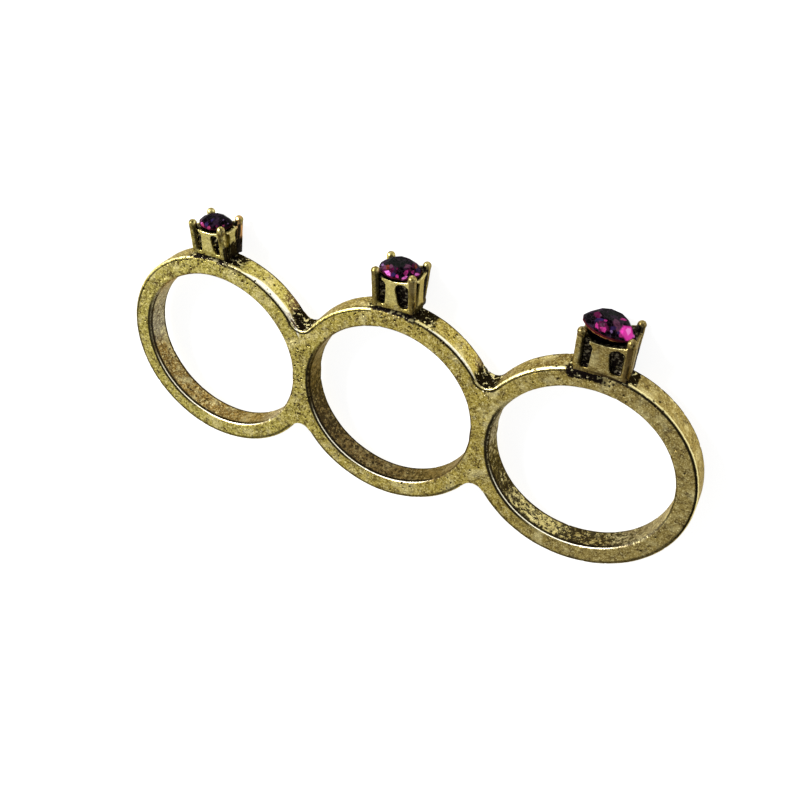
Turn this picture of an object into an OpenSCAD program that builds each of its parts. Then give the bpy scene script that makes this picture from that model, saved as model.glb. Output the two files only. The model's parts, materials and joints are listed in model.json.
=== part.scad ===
// Three-finger ring in cast brass: three bands joined in a row, a square claw cup on top of
// each one, and a round cut stone in every cup. It lies on its side.
// X runs along the row, Y from the fingers towards the stones, and Z along the finger bores.
// The origin is the middle of the middle bore. Sizes are in millimetres.

/* [Bands] */
// Inside diameter of each finger bore
finger_d = 18; // [15:0.5:21]
// Wall of a band, from its bore to its outside
band_t = 2.06; // [1.8:0.02:2.6]
// Width of a band along the finger
band_w = 2.8; // [2.4:0.1:4]
// Metal left between two neighbouring bores
web_t = 2; // [1.4:0.1:2.4]
// Radius of the rounded valleys above and below each join
valley_r = 1.2; // [0.9:0.1:1.8]
// Worn bevel along the edges of the bands
edge_bevel = 0.2; // [0.1:0.05:0.3]

/* [Claw cups] */
// Distance between claw tips across the left, middle and right cup
claw_gaps = [3.3, 3.7, 4.3]; // [3.2:0.02:4.6]
// Sideways place of each cup, from the middle of its band
cup_shifts = [-0.45, 0.1, 0.2]; // [-0.8:0.05:0.8]
// Turn of each cup on its band, in degrees
cup_turns = [0, 2, 2]; // [-8:1:8]
// Height of the claw tips above the band
claw_heights = [3.95, 4.5, 4.45]; // [3.4:0.05:5]
// Top of each cup's walls below its claw tips
rim_drops = [0.6, 0.6, 0.85]; // [0.6:0.05:0.9]
// Radius of a claw's shaft
claw_r = 0.38; // [0.3:0.01:0.45]
// Radius of the rounded bead that ends a claw
bead_r = 0.42; // [0.35:0.01:0.5]
// Depth of each cup's plinth, from front to back
plinth_ds = [2.7, 2.7, 2.94]; // [2.66:0.04:2.98]
// How far each cup's plinth reaches down over the sides of its band
plinth_drops = [0, 0, 0.45]; // [0:0.05:0.5]
// Height of the plain plinth below the pockets
plinth_h = 0.4; // [0.3:0.05:0.7]
// Solder left between the band and the plinth
solder_t = 0.2; // [0.1:0.05:0.3]
// Depth of the pockets in the sides of a cup
pocket_depth = 0.5; // [0.2:0.02:0.55]
// Middle of each cup's front to the left side of its pillar
pillar_lefts = [0.7, 0.75, 1]; // [0.6:0.05:1]
// Middle of each cup's front to the right side of its pillar
pillar_rights = [0.4, 0.2, 0.5]; // [0.2:0.05:0.5]
// Width of the groove beside each claw, from the pocket up to the rim, as a share of claw_gaps
groove_share = 0.14; // [0.05:0.01:0.15]
// How far the claws' feet stand to the left of their tips
claw_lean = 0.1; // [0.05:0.05:0.15]
// How much lower the far left claw under the leaning stone is
bent_claw_drop = 0.65; // [0:0.05:0.8]
// How much lower the far right claw of the left, middle and right cup is
far_claw_drops = [0, 0.15, 0.3]; // [0:0.05:0.4]
// How far the left cup's far right claw is splayed outwards at its foot
splayed_claw = 0.25; // [0:0.05:0.3]

/* [Stones] */
// Diameter of the left, middle and right stone
stone_ds = [3.3, 4, 4.8]; // [3:0.02:4.9]
// Height of each girdle above the band
girdle_heights = [3.4, 3.9, 3.9]; // [3:0.02:5]
// Lean of each stone towards the right, in degrees
stone_leans = [4, 4, 11]; // [0:1:14]
// Lean of each stone towards the far side, in degrees
stone_tips = [0, 0, 8]; // [0:1:10]
// Sideways place of each stone, from the middle of its cup
stone_shifts = [0, -0.1, -0.3]; // [-0.3:0.05:0.3]
// Width of the flat table as a share of the diameter
table_share = 0.54; // [0.45:0.01:0.65]
// Height of each crown as a share of its diameter
crown_shares = [0.17, 0.175, 0.22]; // [0.12:0.005:0.24]
// Depth of the pointed pavilion as a share of the diameter
pavilion_share = 0.42; // [0.36:0.01:0.46]

/* [Hidden] */
$fn = 96;
claw_fn = 32;             // sides of a claw in previews

bore_r = finger_d / 2;
band_r = bore_r + band_t;
ring_pitch = finger_d + web_t;
half_w = band_w / 2;
past = 1;                 // how far a cutter runs past the metal

// The valley's circle bites a little into both bands, so that it crosses their outside.
valley_bite = 0.03;
valley_y = sqrt(pow(band_r + valley_r - valley_bite, 2) - pow(ring_pitch / 2, 2));
join_y = valley_y * band_r / (band_r + valley_r);
join_lap = 0.06;
join_hw = ring_pitch / 2 - sqrt(pow(band_r - edge_bevel, 2) - pow(join_y, 2)) + join_lap;

wall_lip = 0.3;           // wall of a cup outside its claw centres
splay_share = 0.2;        // splay left at the tip of a splayed claw, as a share of its foot's
depth_share = 0.95;       // distance between claw tips from front to back, as a share of claw_gaps
foot_h = 0.7;             // depth that a cup's foot reaches into the band
foot_inset = 0.15;        // how far the foot stands in from the plinth's left and right side
rim_sag = 0.35;           // dip in the middle of each wall's top
pocket_top = 0.45;        // metal above a pocket
pocket_foot = 0.85;       // width of a pocket's lower end, as a share of its width
pillar_share = 0.22;      // half width of a side wall's pillar, as a share of the wall's half width
claw_share = 0.6;         // place of a pocket's outer side, as a share of the claw's radius
well_share = 0.6;         // radius of the hollow under the stone, as a share of half the claw gap
well_floor = 1;           // height of the hollow's floor
seat_gap = 0.1;           // clearance between a stone and its seat
girdle_share = 0.025;     // thickness of a stone's girdle as a share of its diameter
ring_share = 0.8;         // place of the crown's middle corners, as a share of the radius
lower_share = 0.48;       // place of the pavilion's middle corners, as a share of the radius
facets = 8;

function cup_x(i) = (i - 1) * ring_pitch + cup_shifts[i];
function wall_h(i) = claw_heights[i] - rim_drops[i];
function rim_hd(i) = claw_gaps[i] / 2 * depth_share + wall_lip;
function base_hd(i) = plinth_ds[i] / 2;
function base_z(i) = solder_t - plinth_drops[i];
function wall_lean(i) = atan((rim_hd(i) - base_hd(i)) / (wall_h(i) - base_z(i)));

// Outline of a pocket: round ends, the lower one narrower, and a straight outer side at x = 0
function pocket_points(w, foot_w, h) = concat(
    [for (a = [180:30:360]) [foot_w / 2 * (cos(a) - 1), foot_w / 2 * (1 + sin(a))]],
    [for (a = [0:30:180]) [w / 2 * (cos(a) - 1), h - w / 2 * (1 - sin(a))]]);

// Round plate with a bevel along both edges
module band_blank() {
    rotate_extrude()
        polygon([[0, -half_w], [band_r - edge_bevel, -half_w], [band_r, edge_bevel - half_w],
                 [band_r, half_w - edge_bevel], [band_r - edge_bevel, half_w], [0, half_w]]);
}

// Finger bore with its own bevels
module bore() {
    cylinder(r = bore_r, h = band_w + 2 * past, center = true);
    for (side = [0, 1]) mirror([0, 0, side])
        translate([0, 0, half_w - edge_bevel])
            cylinder(r1 = bore_r, r2 = bore_r + edge_bevel + past, h = edge_bevel + past);
}

// Block that fills the join between two bands, with a rounded valley above and below
module join() {
    difference() {
        cube([2 * join_hw, 2 * join_y, band_w], center = true);
        for (up = [0, 1]) mirror([0, up, 0]) translate([0, valley_y, 0]) {
            cylinder(r = valley_r, h = band_w + 2 * past, center = true);
            for (side = [0, 1]) mirror([0, 0, side])
                translate([0, 0, half_w - edge_bevel])
                    cylinder(r1 = valley_r, r2 = valley_r + edge_bevel + past, h = edge_bevel + past);
        }
    }
}

// Claw from its foot on the plinth to its bead
module claw(foot, tip) {
    run = tip - foot;
    reach = norm(run);
    translate(foot)
        rotate([0, acos(run[2] / reach), atan2(run[1], run[0])])
            cylinder(r = claw_r, h = reach, $fn = claw_fn);
    translate(tip) sphere(r = bead_r, $fn = claw_fn);
}

// Outer block of a cup, with its foot: straight sides, front and back leaning outwards
module cup_block(i) {
    hw = claw_gaps[i] / 2 + wall_lip;
    translate([0, 0, -foot_h]) linear_extrude(foot_h + base_z(i) + plinth_h)
        square([2 * (hw - foot_inset), 2 * (half_w - edge_bevel)], center = true);
    rotate([90, 0, 90]) linear_extrude(2 * hw, center = true)
        polygon([[-base_hd(i), base_z(i)], [base_hd(i), base_z(i)],
                 [rim_hd(i), wall_h(i)], [-rim_hd(i), wall_h(i)]]);
}

// Pockets on both sides of the pillar of one wall, the left one with a groove up to the rim,
// and the right one too where groove_right is true
module pockets(i, pillar_left, pillar_right, groove_right) {
    outside = claw_gaps[i] / 2 - claw_share * claw_r;
    pocket_h = wall_h(i) - base_z(i) - plinth_h - pocket_top;
    groove_w = groove_share * claw_gaps[i];
    for (side = [0, 1]) mirror([side, 0, 0]) {
        pocket_w = outside - [pillar_right, pillar_left][side];
        translate([outside, pocket_depth, plinth_h])
            rotate([90, 0, 0]) linear_extrude(pocket_depth + past) {
                polygon(pocket_points(pocket_w, pocket_foot * pocket_w, pocket_h));
                if (side == 1 || groove_right)
                    translate([-groove_w, pocket_h / 2]) square([groove_w, pocket_h]);
            }
    }
}

// Moves its children to the middle of stone i's girdle, leaning as the stone does
module at_stone(i) {
    translate([stone_shifts[i], 0, girdle_heights[i]])
        rotate([-stone_tips[i], 0, 0]) rotate([0, stone_leans[i], 0]) children();
}

// Hollow under a stone: an upright well that opens into a seat shaped like the pavilion
module seat(i) {
    seat_r = stone_ds[i] / 2 + seat_gap;
    seat_h = pavilion_share * stone_ds[i];
    translate([0, 0, well_floor])
        cylinder(r = well_share * claw_gaps[i] / 2, h = girdle_heights[i] - well_floor - seat_h / 2);
    at_stone(i) rotate_extrude()
        polygon([[0, -seat_h - 2 * seat_gap], [seat_r, -2 * seat_gap], [seat_r, stone_ds[i]],
                 [0, stone_ds[i]]]);
}

// Claw cup, standing on the band at z = 0 of its own frame
module cup(i) {
    half = claw_gaps[i] / 2;
    hw = half + wall_lip;
    rim_r = (half * half + rim_sag * rim_sag) / (2 * rim_sag);
    foot_y = base_hd(i) - wall_lip;
    side_pillar = pillar_share * hw;
    difference() {
        cup_block(i);
        for (face = [0, 1]) mirror([0, face, 0])
            translate([0, -base_hd(i), base_z(i)]) rotate([wall_lean(i), 0, 0])
                pockets(i, pillar_lefts[i], pillar_rights[i], false);
        for (face = [-1, 1])
            rotate([0, 0, face * 90]) translate([0, -hw, base_z(i)])
                pockets(i, side_pillar, side_pillar, true);
        translate([0, 0, wall_h(i) - rim_sag + rim_r]) for (turn = [0, 90])
            rotate([90, 0, turn]) cylinder(r = rim_r, h = 4 * hw, center = true);
        seat(i);
    }
    for (sx = [-1, 1], sy = [-1, 1]) {
        far_right = sx > 0 && sy > 0;
        drop = far_right ? far_claw_drops[i] : i == 2 && sy > 0 ? bent_claw_drop : 0;
        splay = i == 0 && far_right ? splayed_claw : 0;
        claw([sx * half - claw_lean + splay, sy * foot_y, base_z(i)],
             [sx * half + splay_share * splay, sy * half * depth_share,
              claw_heights[i] - bead_r - drop]);
    }
}

// Places its children on top of band i, with z away from the finger
module on_band(i) {
    translate([cup_x(i), band_r, 0]) rotate([-90, 0, 0]) rotate([0, 0, cup_turns[i]]) children();
}

// All the metal, soldered and cast as one: bands, joins and claw cups
module ring_body() {
    color("darkkhaki") {
        difference() {
            union() {
                for (i = [-1:1]) translate([i * ring_pitch, 0, 0]) band_blank();
                for (side = [-1, 1]) translate([side * ring_pitch / 2, 0, 0]) join();
            }
            for (i = [-1:1]) translate([i * ring_pitch, 0, 0]) bore();
        }
        for (i = [0:2]) on_band(i) cup(i);
    }
}

// Corner number k of a ring of corners around the stone, turned by a part of one step
function corner(k, turn, r, z) =
    let (a = 360 / facets * (k + turn)) [r * cos(a), r * sin(a), z];

// Brilliant cut: octagonal table, kites, stars and girdle facets above, a pointed pavilion below
module brilliant(d, crown_share) {
    r = d / 2;
    table_r = table_share * r;
    g = girdle_share * r;
    step = 180 / facets;
    crown_h = crown_share * d;
    pavilion_h = pavilion_share * d;
    ring_r = ring_share * r;
    ring_z = g + crown_h * (r - ring_r * cos(step)) / (r - table_r);
    lower_r = lower_share * r;
    lower_z = -g - pavilion_h * (1 - lower_r * cos(step) / r);
    points = concat(
        [for (k = [0:facets - 1]) corner(k, 0, table_r, g + crown_h)],
        [for (k = [0:facets - 1]) corner(k, 0.5, ring_r, ring_z)],
        [for (k = [0:2 * facets - 1]) corner(k / 2, 0, r, g)],
        [for (k = [0:2 * facets - 1]) corner(k / 2, 0, r, -g)],
        [for (k = [0:facets - 1]) corner(k, 0.5, lower_r, lower_z)],
        [[0, 0, -g - pavilion_h]]);
    mid = facets;
    top = 2 * facets;
    low = 4 * facets;
    deep = 6 * facets;
    tip = 7 * facets;
    faces = concat(
        [[for (k = [facets - 1:-1:0]) k]],
        [for (k = [0:facets - 1]) let (n = (k + 1) % facets) [k, n, mid + k]],
        [for (k = [0:facets - 1]) let (b = (k + facets - 1) % facets)
            [k, mid + k, top + 2 * k, mid + b]],
        [for (k = [0:facets - 1]) [mid + k, top + 2 * k + 1, top + 2 * k]],
        [for (k = [0:facets - 1]) [mid + k, top + (2 * k + 2) % (2 * facets), top + 2 * k + 1]],
        [for (k = [0:2 * facets - 1]) let (n = (k + 1) % (2 * facets))
            [top + k, top + n, low + n, low + k]],
        [for (k = [0:facets - 1]) [deep + k, low + 2 * k, low + 2 * k + 1]],
        [for (k = [0:facets - 1]) [deep + k, low + 2 * k + 1, low + (2 * k + 2) % (2 * facets)]],
        [for (k = [0:facets - 1]) let (b = (k + facets - 1) % facets)
            [tip, deep + b, low + 2 * k, deep + k]]);
    polyhedron(points, faces);
}

// Stone i in its cup
module stone(i) {
    color("mediumvioletred") on_band(i) at_stone(i)
        rotate([0, 0, 180 / facets]) brilliant(stone_ds[i], crown_shares[i]);
}

ring_body();
stone(0);  // stone_left
stone(1);  // stone_middle
stone(2);  // stone_right
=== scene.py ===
# Three-finger ring: antiqued brass, three claw cups, three foil-backed stones, lying on its side.
# Shapes are made in millimetres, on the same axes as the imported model, and brought to metres at the end.
import json
import math

import bmesh
import bpy
from mathutils import Matrix, Vector


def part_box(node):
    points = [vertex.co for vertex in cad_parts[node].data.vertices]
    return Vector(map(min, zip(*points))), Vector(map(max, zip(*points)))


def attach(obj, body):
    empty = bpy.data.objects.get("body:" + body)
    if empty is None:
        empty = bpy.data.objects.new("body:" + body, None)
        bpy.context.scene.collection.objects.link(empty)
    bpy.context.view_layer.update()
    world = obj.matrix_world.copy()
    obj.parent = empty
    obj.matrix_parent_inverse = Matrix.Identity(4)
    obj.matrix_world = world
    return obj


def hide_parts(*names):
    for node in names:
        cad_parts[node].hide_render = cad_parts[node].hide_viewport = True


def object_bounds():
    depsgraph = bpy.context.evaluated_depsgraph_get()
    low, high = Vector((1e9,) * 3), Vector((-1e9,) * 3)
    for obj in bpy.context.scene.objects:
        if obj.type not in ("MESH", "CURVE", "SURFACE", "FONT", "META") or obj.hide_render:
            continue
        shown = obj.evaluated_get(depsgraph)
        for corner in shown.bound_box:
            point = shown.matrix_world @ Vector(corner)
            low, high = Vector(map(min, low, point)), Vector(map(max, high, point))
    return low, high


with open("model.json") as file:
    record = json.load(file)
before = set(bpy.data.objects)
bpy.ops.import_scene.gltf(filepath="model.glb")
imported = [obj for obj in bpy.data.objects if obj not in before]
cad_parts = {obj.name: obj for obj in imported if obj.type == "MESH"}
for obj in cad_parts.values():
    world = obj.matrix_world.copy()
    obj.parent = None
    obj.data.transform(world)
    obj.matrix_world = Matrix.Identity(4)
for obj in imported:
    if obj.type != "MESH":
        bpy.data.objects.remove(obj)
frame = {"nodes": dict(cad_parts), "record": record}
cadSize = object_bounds()
toMetres = 0.001
nodes = frame["nodes"]


# Node wrapper: shader and geometry trees are written as expressions
class Wire:
    def __init__(self, board, socket):
        self.board = board
        self.socket = socket

    def __add__(self, other):
        return self.board.maths("ADD", self, other)

    def __sub__(self, other):
        return self.board.maths("SUBTRACT", self, other)

    def __rsub__(self, other):
        return self.board.maths("SUBTRACT", other, self)

    def __mul__(self, other):
        return self.board.maths("MULTIPLY", self, other)

    def __truediv__(self, other):
        return self.board.maths("DIVIDE", self, other)

    def __rtruediv__(self, other):
        return self.board.maths("DIVIDE", other, self)

    def __lt__(self, other):
        return self.board.maths("LESS_THAN", self, other)

    def __gt__(self, other):
        return self.board.maths("GREATER_THAN", self, other)

    def __abs__(self):
        return self.board.maths("ABSOLUTE", self)

    __radd__ = __add__
    __rmul__ = __mul__


class Board:
    def __init__(self, tree):
        self.tree = tree

    # Any node: its type, then its settings, then the values or links of its sockets
    def node(self, kind, settings=None, sockets=None, out=0):
        made = self.tree.nodes.new(kind)
        for name, value in (settings or {}).items():
            setattr(made, name, value)
        for name, value in (sockets or {}).items():
            if isinstance(value, Wire):
                self.tree.links.new(value.socket, made.inputs[name])
            else:
                made.inputs[name].default_value = value
        return Wire(self, made.outputs[out]) if made.outputs else made

    def maths(self, operation, *values):
        return self.node("ShaderNodeMath", {"operation": operation}, dict(enumerate(values)))

    def vector(self, operation, *values, out=0):
        return self.node("ShaderNodeVectorMath", {"operation": operation}, dict(enumerate(values)), out)

    # 0 below low, 1 above high, smooth between; low may be the larger one
    def rise(self, value, low, high):
        return self.node("ShaderNodeMapRange", {"interpolation_type": "SMOOTHSTEP"},
                         {"Value": value, "From Min": low, "From Max": high})

    # Colours: first where factor is 0, second where it is 1
    def blend(self, factor, first, second):
        first, second = [rgba(*c) if isinstance(c, tuple) else c for c in (first, second)]
        return self.node("ShaderNodeMix", {"data_type": "RGBA"}, {0: factor, 6: first, 7: second}, out=2)

    def split(self, vector):
        made = self.node("ShaderNodeSeparateXYZ", None, {0: vector})
        return [Wire(self, socket) for socket in made.socket.node.outputs]

    def most(self, first, *others):
        for other in others:
            first = self.maths("MAXIMUM", first, other)
        return first

    def least(self, first, second):
        return self.maths("MINIMUM", first, second)

    def clamp(self, value, low, high):
        return self.least(self.most(value, low), high)

    def length(self, first, second):
        return self.maths("SQRT", first * first + second * second)

    def noise(self, place, size, detail=3, rough=0.55, warp=0):
        return self.node("ShaderNodeTexNoise", None,
                         {"Vector": place, "Scale": 1 / size, "Detail": detail, "Roughness": rough,
                          "Distortion": warp})

    def cells(self, place, size, feature="F1", out=0):
        return self.node("ShaderNodeTexVoronoi", {"feature": feature},
                         {"Vector": place, "Scale": 1 / size}, out)

    # The place on the surface, in millimetres
    def millimetres(self):
        return self.node("ShaderNodeVectorMath", {"operation": "SCALE"},
                         {0: self.node("ShaderNodeTexCoord", out=3), "Scale": 1 / toMetres})

    # The end of a Geometry Nodes tree
    def dress(self, geometry, paint):
        geometry = self.node("GeometryNodeRealizeInstances", None, {0: geometry})
        geometry = self.node("GeometryNodeSetMaterial", None, {0: geometry, "Material": paint})
        self.node("NodeGroupOutput", None, {0: geometry})
        return self.tree


def rgba(red, green, blue):
    return (red, green, blue, 1)


# An empty material, and the board that its nodes go on
def newMaterial(name):
    material = bpy.data.materials.new(name)
    material.use_nodes = True
    material.node_tree.nodes.clear()
    return material, Board(material.node_tree)


# An empty Geometry Nodes tree with a named input for each knob, and the board that its nodes go on
def newTree(name, knobs):
    tree = bpy.data.node_groups.new(name, "GeometryNodeTree")
    tree.is_modifier = True
    face = tree.interface
    face.new_socket("Geometry", in_out="INPUT", socket_type="NodeSocketGeometry")
    for label, value in knobs.items():
        kind = "NodeSocketInt" if isinstance(value, int) else "NodeSocketFloat"
        face.new_socket(label, in_out="INPUT", socket_type=kind).default_value = value
    face.new_socket("Geometry", in_out="OUTPUT", socket_type="NodeSocketGeometry")
    board = Board(tree)
    given = tree.nodes.new("NodeGroupInput")
    return board, {socket.name: Wire(board, socket) for socket in given.outputs}


def setKnobs(modifier, values):
    for item in modifier.node_group.interface.items_tree:
        if item.item_type == "SOCKET" and item.in_out == "INPUT" and item.name in values:
            modifier[item.identifier] = values[item.name]


def newObject(name, data):
    made = bpy.data.objects.new(name, data)
    bpy.context.scene.collection.objects.link(made)
    return made


print("camera and room")
view = {
    "place": (0.03301, 0.05698, 0.07305),
    "right": (0.89767512, 0.05400174, -0.43733648),
    "up": (-0.29329204, 0.81392229, -0.50150801),
    "lens": 43.67,
    "film": 36,
    "nearest": 0.001,
    "farthest": 20,
}
room = {
    "floorSize": 3.0,
    "floorColour": (0.25, 0.25, 0.25),
    "floorRoughness": 0.9,
    "floorGloss": 0.1,
    "floorGlow": 0.9,
    "skyFall": 0.35,                     # how much darker it is overhead than round the floor
    "cameraShade": 0.85,                 # how dark it is round the camera
    "darkCard": (0.755, -0.55, 0.355),   # direction of a dark card low on the right
    "cardShade": 0.9,
    "key": {"direction": (-0.73, 0.52, 0.75), "distance": 0.6, "size": 0.25, "power": 6.0},
}


def addCamera(spec):
    camera = newObject("camera", bpy.data.cameras.new("camera"))
    right = Vector(spec["right"])
    up = Vector(spec["up"])
    turn = Matrix((right, up, right.cross(up))).transposed().to_4x4()
    camera.matrix_world = Matrix.Translation(spec["place"]) @ turn
    camera.data.lens = spec["lens"]
    camera.data.sensor_width = spec["film"]
    camera.data.clip_start = spec["nearest"]
    camera.data.clip_end = spec["farthest"]
    bpy.context.scene.camera = camera


def addFloor(spec):
    half = spec["floorSize"] / 2
    height = cadSize[0].z
    mesh = bpy.data.meshes.new("floor")
    mesh.from_pydata([(-half, -half, height), (half, -half, height), (half, half, height),
                      (-half, half, height)], [], [(0, 1, 2, 3)])
    paper = bpy.data.materials.new("paper")
    paper.use_nodes = True
    shader = paper.node_tree.nodes["Principled BSDF"]
    shader.inputs["Base Color"].default_value = rgba(*spec["floorColour"])
    shader.inputs["Roughness"].default_value = spec["floorRoughness"]
    shader.inputs["Specular IOR Level"].default_value = spec["floorGloss"]
    shader.inputs["Emission Color"].default_value = rgba(1, 1, 1)
    shader.inputs["Emission Strength"].default_value = spec["floorGlow"]
    mesh.materials.append(paper)
    newObject("floor", mesh)


def addLamp(name, spec):
    lamp = newObject(name, bpy.data.lights.new(name, "AREA"))
    lamp.data.shape = "DISK"
    lamp.data.size = spec["size"]
    lamp.data.energy = spec["power"]
    direction = Vector(spec["direction"])
    lamp.location = direction.normalized() * spec["distance"]
    lamp.rotation_euler = direction.to_track_quat("Z", "Y").to_euler()


def addRoom(spec):
    world = bpy.data.worlds.new("room")
    bpy.context.scene.world = world
    world.use_nodes = True
    world.node_tree.nodes.clear()
    board = Board(world.node_tree)
    direction = board.node("ShaderNodeTexCoord", out=0)
    up = board.node("ShaderNodeSeparateXYZ", None, {0: direction}, out=2)
    toCamera = board.vector("DOT_PRODUCT", direction, tuple(Vector(view["place"]).normalized()), out=1)
    strength = 1 - board.rise(up, -0.1, 0.9) * spec["skyFall"]
    strength = strength * (1 - board.rise(toCamera, 0.80, 0.97) * spec["cameraShade"])
    toCard = board.vector("DOT_PRODUCT", direction, spec["darkCard"], out=1)
    strength = strength * (1 - board.rise(toCard, 0.72, 0.90) * spec["cardShade"])

    # White where the camera sees it
    seen = board.node("ShaderNodeLightPath")
    strength = strength + seen * (1 - strength)
    back = board.node("ShaderNodeBackground", None, {"Color": rgba(1, 1, 1), "Strength": strength})
    board.node("ShaderNodeOutputWorld", None, {0: back})
    addLamp("key", spec["key"])
    bpy.context.scene.view_settings.view_transform = "Standard"


addCamera(view)
addFloor(room)
addRoom(room)


print("brass")
mounts = frame["record"]["mounts"]
centres = [mount["pos_m"][0] / toMetres for mount in mounts]
pitch = centres[1] - centres[0]
boreRadius = mounts[0]["dims"]["r_mm"]
outerRadius = -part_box("ring_body")[0].y / toMetres
valley = {
    "x": pitch / 2,
    "y": 7.04,
    "radius": 1.2,
    "sootLeft": 0.3,    # how far left of and below its centre the soot gathers
    "sootDown": 1.15,
}
cups = {
    "places": {"left": -20.45, "middle": 0.1, "right": 20.2},
    "turns": {"left": 0, "middle": 2, "right": 2},
    "halfGaps": {"left": 1.65, "middle": 1.85, "right": 2.15},
    "heights": {"left": 3.95, "middle": 4.5, "right": 4.45},
    "lip": 0.3,
    "solder": 0.2,
    "drops": {"left": 0, "middle": 0, "right": 0.45},   # how far a plinth reaches down over its band
    "skirtHalfDepth": 1.47,
    "plinthHalfDepth": 1.35,
    "depthShare": 0.95,
    "rimDrops": {"left": 0.6, "middle": 0.6, "right": 0.85},   # from a claw's tip down to the rim
    "beadDrop": 0.72,      # from a claw's tip down to the foot of its bead
    "reach": 5,            # how far from its middle a cup's metal may lie
    "cutAbove": 0.01,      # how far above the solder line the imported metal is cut
    "mergeBelow": 0.0001,
    "footHalfDepth": 1.2,
    "footDepth": 0.7,
    "footMargin": 0.15,
    "footOverlap": 0.3,
    "skirtOverlap": 0.03,
    "voxel": 0.055,
    "softening": 4,
    "kept": 0.8,
    "knobs": {"Wave Depth": 0.02, "Wave Size": 1.0, "Grain Depth": 0.015, "Grain Size": 0.3,
              "Pit Depth": 0.03, "Pit Size": 0.5, "Edge Steps": 8},
}
band = {
    "width": 2.8,
    "bevel": 0.2,
    "ringSteps": 256,
    "valleySteps": 16,
    "webSteps": 24,
    "webOverlap": 0.4,   # how far a web reaches into its bands
    "voxel": 0.09,
    "softening": 5,
    "kept": 0.42,
    "knobs": {"Wave Depth": 0.03, "Wave Size": 3.0, "Grain Depth": 0.008, "Grain Size": 0.5,
              "Pit Depth": 0.05, "Pit Size": 0.6, "Edge Steps": 8},
}
halfWidth = band["width"] / 2
brass = {
    "straw": (0.57, 0.485, 0.105),    # the left band, rubbed bright
    "olive": (0.50, 0.388, 0.074),
    "umber": (0.36, 0.27, 0.080),     # the right band
    "brown": (0.085, 0.052, 0.017),
    # near black, for casting pits and for the painted dark edge lines
    "pit": (0.012, 0.008, 0.005),
    "boreTints": ((0.33, 0.202, 0.044), (0.175, 0.120, 0.040), (0.36, 0.28, 0.09)),
    "boreStains": (0.35, 0.85, 0.95),
    "grey": (0.36, 0.34, 0.26),       # painted sheen: bores go grey where they run up to the joins
    # worn brass, and the colour of the painted highlights
    "worn": (0.95, 0.85, 0.42),
    "flare": (1.0, 0.97, 0.80),
    "gilt": (0.86, 0.75, 0.29),
    "copper": (0.60, 0.30, 0.12),
    "russet": (0.105, 0.052, 0.028),
    # black of soot, and of painted shade
    "soot": (0.006, 0.004, 0.004),
    "fleck": (0.22, 0.19, 0.125),     # painted highlights in the pockets
    "sheen": (0.82, 0.71, 0.48),      # colour that the metal keeps at a glancing angle
    "sizes": {"mottle": 1.7, "blotch": 0.9, "drift": 0.6, "patch": 0.5, "ragged": 0.45, "grain": 0.26,
              "fine": 0.13, "dot": 0.45, "cluster": 1.6, "stain": 0.42, "curl": 0.5, "fleck": 0.32,
              "bit": 0.3, "flank": 0.5, "creep": 0.4, "blot": 0.4},
    "footSpread": (0.62, 0.6, 1.15),   # how far the soot and painted shadow creep from under each cup
    "rightSpread": (-0.3, 0.15, 0.0),  # how much further it runs on the right of each cup
    "sideFade": (0.5, 0.5, 1.8),       # how fast it fades beside each cup
    "flankSoot": (2.0, 1.0, 0.3),      # how high each cup's right flank is painted black as shade
    "farSoot": (1.2, 0.6, 1.9),        # how high its far right claw is painted black as shadow all round
    "farReach": (0.45, 0.45, 1.1),     # how far forward that black comes
    "farEdge": (0.26, 0.16, 0.10),     # how far round that claw the black comes
    "beadSoot": (0.95, 0.6, 0.55),     # how dark the blots on its beads are
    "cupDim": (0.0, 0.0, 0.16),        # how much browner each whole cup is
    "shaftBrown": (0.25, 0.75, 0.85),  # how brown each cup's claws are
    "leftClawBrown": (0.3, 0.6, 0.15),
    "streaks": (0.95, 0.5, 0.85),      # how dark the front claw is below its bead
    "wallRub": (0.35, 0.40, 0.0),      # how bright each cup's walls are rubbed, partly as a painted highlight
    "bumpHeight": 0.03,
}
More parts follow.
